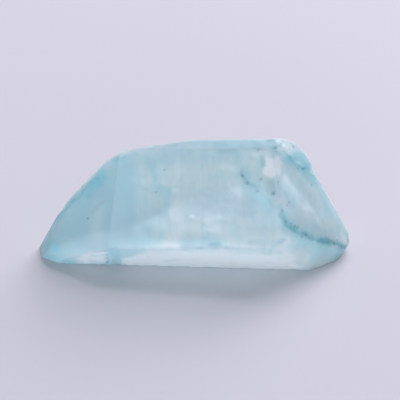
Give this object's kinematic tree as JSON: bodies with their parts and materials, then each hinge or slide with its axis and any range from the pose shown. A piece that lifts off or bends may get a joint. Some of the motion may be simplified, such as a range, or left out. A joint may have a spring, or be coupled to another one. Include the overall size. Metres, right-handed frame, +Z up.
{
  "type": "quartz crystal",
  "caption": "Rough blue quartz point lying on one of its prism faces: a six-sided prism, pointed at one end and broken off at the other.",
  "frame": {"origin": "centre of the bounding box's foot, on the surface that the crystal lies on", "axes": "+X along the crystal's length from its point to its broken end, +Y to the back, +Z up"},
  "size_m": [0.0408, 0.016, 0.0172],
  "materials": {
    "quartz": "worn, satin, cloudy blue quartz"
  },
  "bodies": {
    "root": {"crystal": "quartz"}
  },
  "joints": []
}
